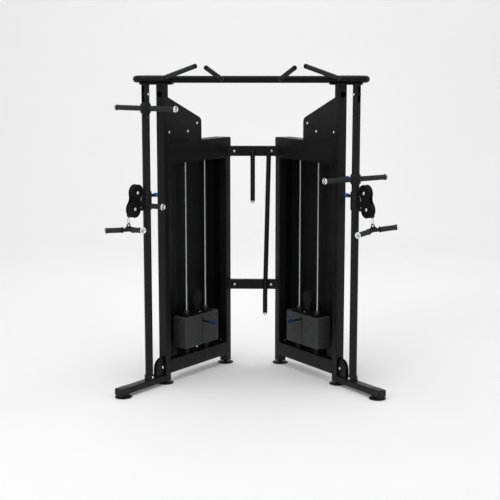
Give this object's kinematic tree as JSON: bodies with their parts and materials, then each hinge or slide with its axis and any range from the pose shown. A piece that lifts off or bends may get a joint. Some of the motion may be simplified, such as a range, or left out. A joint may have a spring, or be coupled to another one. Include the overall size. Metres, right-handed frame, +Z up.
{
  "type": "functional trainer",
  "caption": "Free-standing cable machine: two weight-stack towers set in a V, with columns, sliding swivel pulleys, T-bars and a pull-up bar across the top.",
  "frame": {"origin": "on the floor at the centre of the machine's bounding box", "axes": "+Z up, X across the machine, -Y towards the user who stands in front"},
  "size_m": [2.1202, 1.1906, 2.4003],
  "materials": {
    "frame_paint": "satin black powder coat",
    "head_paint": "satin black",
    "weight_plate": "dark grey steel plate",
    "chrome": "polished",
    "steel_fasteners": "zinc plated",
    "black_rubber": "matt",
    "black_plastic": "moulded",
    "pulley_plastic": "moulded nylon",
    "blue_knob": "moulded blue"
  },
  "bodies": {
    "root": {"base_beams": "frame_paint", "base_pulley_housings": "frame_paint", "bottom_rails": "frame_paint", "column_left": "frame_paint", "column_right": "frame_paint", "column_sockets": "frame_paint", "end_shoes": "black_plastic", "feet": "black_rubber", "frame_bolts": "steel_fasteners", "front_upright_left": "frame_paint", "front_upright_right": "frame_paint", "guide_rods": "chrome", "gusset_plates": "frame_paint", "pull_up_bar": "frame_paint", "pull_up_grips": "black_rubber", "rear_crossbars": "frame_paint", "rear_uprights": "frame_paint", "resting_plates": "weight_plate", "shrouds": "frame_paint", "stack_bumpers": "black_rubber", "top_boxes": "frame_paint", "top_plates": "frame_paint"},
    "stack_left": {"lifted_plates_left": "weight_plate", "head_plate_left": "head_paint", "stack_bracket_left": "frame_paint"},
    "selector_pin_left": {"selector_pin_left": "blue_knob"},
    "stack_pulley_left": {"stack_pulley_left": "pulley_plastic"},
    "carriage_left": {"carriage_left": "frame_paint"},
    "carriage_pin_left": {"carriage_pin_left": "blue_knob"},
    "pulley_housing_left": {"pulley_housing_left": "frame_paint"},
    "swivel_pulley_upper_left": {"swivel_pulley_upper_left": "pulley_plastic"},
    "swivel_pulley_lower_left": {"swivel_pulley_lower_left": "pulley_plastic"},
    "carabiner_left": {"carabiner_left": "chrome"},
    "pull_handle_left": {"pull_handle_left": "frame_paint"},
    "t_bar_left": {"t_bar_left": "frame_paint"},
    "t_bar_pin_left": {"t_bar_pin_left": "blue_knob"},
    "column_pulley_left": {"column_pulley_left": "pulley_plastic"},
    "base_pulley_left": {"base_pulley_left": "pulley_plastic"},
    "tower_pulley_front_left": {"tower_pulley_front_left": "pulley_plastic"},
    "tower_pulley_rear_left": {"tower_pulley_rear_left": "pulley_plastic"},
    "stack_right": {"lifted_plates_right": "weight_plate", "head_plate_right": "head_paint", "stack_bracket_right": "frame_paint"},
    "selector_pin_right": {"selector_pin_right": "blue_knob"},
    "stack_pulley_right": {"stack_pulley_right": "pulley_plastic"},
    "carriage_right": {"carriage_right": "frame_paint"},
    "carriage_pin_right": {"carriage_pin_right": "blue_knob"},
    "pulley_housing_right": {"pulley_housing_right": "frame_paint"},
    "swivel_pulley_upper_right": {"swivel_pulley_upper_right": "pulley_plastic"},
    "swivel_pulley_lower_right": {"swivel_pulley_lower_right": "pulley_plastic"},
    "carabiner_right": {"carabiner_right": "chrome"},
    "pull_handle_right": {"pull_handle_right": "frame_paint"},
    "t_bar_right": {"t_bar_right": "frame_paint"},
    "t_bar_pin_right": {"t_bar_pin_right": "blue_knob"},
    "column_pulley_right": {"column_pulley_right": "pulley_plastic"},
    "base_pulley_right": {"base_pulley_right": "pulley_plastic"},
    "tower_pulley_front_right": {"tower_pulley_front_right": "pulley_plastic"},
    "tower_pulley_rear_right": {"tower_pulley_rear_right": "pulley_plastic"},
    "short_bar": {"short_bar": "frame_paint"},
    "lat_bar": {"lat_bar": "frame_paint"}
  },
  "joints": [
    {"name": "stack_lift_left", "type": "slide", "parent": "root", "child": "stack_left", "axis": [0, 0, 1], "range_m": [0, 0.98]},
    {"name": "selector_pull_left", "type": "slide", "parent": "stack_left", "child": "selector_pin_left", "axis": [0.8246, -0.5657, 0], "range_m": [0, 0.13]},
    {"name": "stack_pulley_spin_left", "type": "hinge", "parent": "stack_left", "child": "stack_pulley_left", "pos_m": [-0.43696, 0.20336, 0.595], "axis": [0.8246, -0.5657, 0], "continuous": true},
    {"name": "carriage_slide_left", "type": "slide", "parent": "root", "child": "carriage_left", "axis": [0, 0, 1], "range_m": [-1.016, 0]},
    {"name": "carriage_pin_pull_left", "type": "slide", "parent": "carriage_left", "child": "carriage_pin_left", "axis": [0.5657, 0.8246, 0], "range_m": [-0.01, 0.006]},
    {"name": "housing_swivel_left", "type": "hinge", "parent": "carriage_left", "child": "pulley_housing_left", "pos_m": [-0.79051, -0.31203, 1.4], "axis": [0, 0, 1], "range_deg": [-75, 75]},
    {"name": "swivel_pulley_upper_spin_left", "type": "hinge", "parent": "pulley_housing_left", "child": "swivel_pulley_upper_left", "pos_m": [-0.82445, -0.36151, 1.479], "axis": [0.8246, -0.5657, 0], "continuous": true},
    {"name": "swivel_pulley_lower_spin_left", "type": "hinge", "parent": "pulley_housing_left", "child": "swivel_pulley_lower_left", "pos_m": [-0.84199, -0.38707, 1.364], "axis": [0.8246, -0.5657, 0], "continuous": true},
    {"name": "carabiner_swing_left", "type": "hinge", "parent": "pulley_housing_left", "child": "carabiner_left", "pos_m": [-0.8748, -0.4349, 1.324], "axis": [0.8246, -0.5657, 0], "range_deg": [-35, 20]},
    {"name": "handle_swing_left", "type": "hinge", "parent": "carabiner_left", "child": "pull_handle_left", "pos_m": [-0.87367, -0.43325, 1.2605], "axis": [-0.5657, -0.8246, 0], "range_deg": [-20, 20]},
    {"name": "t_bar_slide_left", "type": "slide", "parent": "root", "child": "t_bar_left", "axis": [0, 0, 1], "range_m": [-0.4445, 0]},
    {"name": "t_bar_pin_pull_left", "type": "slide", "parent": "t_bar_left", "child": "t_bar_pin_left", "axis": [0.5657, 0.8246, 0], "range_m": [-0.01, 0.006]},
    {"name": "column_pulley_spin_left", "type": "hinge", "parent": "root", "child": "column_pulley_left", "pos_m": [-0.7577, -0.2642, 2.18], "axis": [0.8246, -0.5657, 0], "continuous": true},
    {"name": "base_pulley_spin_left", "type": "hinge", "parent": "root", "child": "base_pulley_left", "pos_m": [-0.67624, -0.14546, 0.131], "axis": [0.8246, -0.5657, 0], "continuous": true},
    {"name": "tower_pulley_front_spin_left", "type": "hinge", "parent": "root", "child": "tower_pulley_front_left", "pos_m": [-0.6208, -0.06464, 1.896], "axis": [0.8246, -0.5657, 0], "continuous": true},
    {"name": "tower_pulley_rear_spin_left", "type": "hinge", "parent": "root", "child": "tower_pulley_rear_left", "pos_m": [-0.43243, 0.20996, 1.947], "axis": [0.8246, -0.5657, 0], "continuous": true},
    {"name": "stack_lift_right", "type": "slide", "parent": "root", "child": "stack_right", "axis": [0, 0, 1], "range_m": [0, 0.98]},
    {"name": "selector_pull_right", "type": "slide", "parent": "stack_right", "child": "selector_pin_right", "axis": [-0.8246, -0.5657, 0], "range_m": [0, 0.13]},
    {"name": "stack_pulley_spin_right", "type": "hinge", "parent": "stack_right", "child": "stack_pulley_right", "pos_m": [0.43696, 0.20336, 0.595], "axis": [-0.8246, -0.5657, 0], "continuous": true},
    {"name": "carriage_slide_right", "type": "slide", "parent": "root", "child": "carriage_right", "axis": [0, 0, 1], "range_m": [-1.016, 0]},
    {"name": "carriage_pin_pull_right", "type": "slide", "parent": "carriage_right", "child": "carriage_pin_right", "axis": [-0.5657, 0.8246, 0], "range_m": [-0.01, 0.006]},
    {"name": "housing_swivel_right", "type": "hinge", "parent": "carriage_right", "child": "pulley_housing_right", "pos_m": [0.79051, -0.31203, 1.4], "axis": [0, 0, -1], "range_deg": [-75, 75]},
    {"name": "swivel_pulley_upper_spin_right", "type": "hinge", "parent": "pulley_housing_right", "child": "swivel_pulley_upper_right", "pos_m": [0.82445, -0.36151, 1.479], "axis": [-0.8246, -0.5657, 0], "continuous": true},
    {"name": "swivel_pulley_lower_spin_right", "type": "hinge", "parent": "pulley_housing_right", "child": "swivel_pulley_lower_right", "pos_m": [0.84199, -0.38707, 1.364], "axis": [-0.8246, -0.5657, 0], "continuous": true},
    {"name": "carabiner_swing_right", "type": "hinge", "parent": "pulley_housing_right", "child": "carabiner_right", "pos_m": [0.8748, -0.4349, 1.324], "axis": [0.8246, 0.5657, 0], "range_deg": [-35, 20]},
    {"name": "handle_swing_right", "type": "hinge", "parent": "carabiner_right", "child": "pull_handle_right", "pos_m": [0.87367, -0.43325, 1.2605], "axis": [0.5657, -0.8246, 0], "range_deg": [-20, 20]},
    {"name": "t_bar_slide_right", "type": "slide", "parent": "root", "child": "t_bar_right", "axis": [0, 0, 1], "range_m": [0, 0.4445]},
    {"name": "t_bar_pin_pull_right", "type": "slide", "parent": "t_bar_right", "child": "t_bar_pin_right", "axis": [-0.5657, 0.8246, 0], "range_m": [-0.01, 0.006]},
    {"name": "column_pulley_spin_right", "type": "hinge", "parent": "root", "child": "column_pulley_right", "pos_m": [0.7577, -0.2642, 2.18], "axis": [-0.8246, -0.5657, 0], "continuous": true},
    {"name": "base_pulley_spin_right", "type": "hinge", "parent": "root", "child": "base_pulley_right", "pos_m": [0.67624, -0.14546, 0.131], "axis": [-0.8246, -0.5657, 0], "continuous": true},
    {"name": "tower_pulley_front_spin_right", "type": "hinge", "parent": "root", "child": "tower_pulley_front_right", "pos_m": [0.6208, -0.06464, 1.896], "axis": [-0.8246, -0.5657, 0], "continuous": true},
    {"name": "tower_pulley_rear_spin_right", "type": "hinge", "parent": "root", "child": "tower_pulley_rear_right", "pos_m": [0.43243, 0.20996, 1.947], "axis": [-0.8246, -0.5657, 0], "continuous": true},
    {"name": "short_bar_swing", "type": "hinge", "parent": "root", "child": "short_bar", "pos_m": [-0.001, 0.4713, 1.738], "axis": [0, 1, 0], "range_deg": [-10, 18]},
    {"name": "lat_bar_swing", "type": "hinge", "parent": "root", "child": "lat_bar", "pos_m": [0.125, 0.4713, 1.738], "axis": [0, 1, 0], "range_deg": [-0.8, 10]}
  ]
}
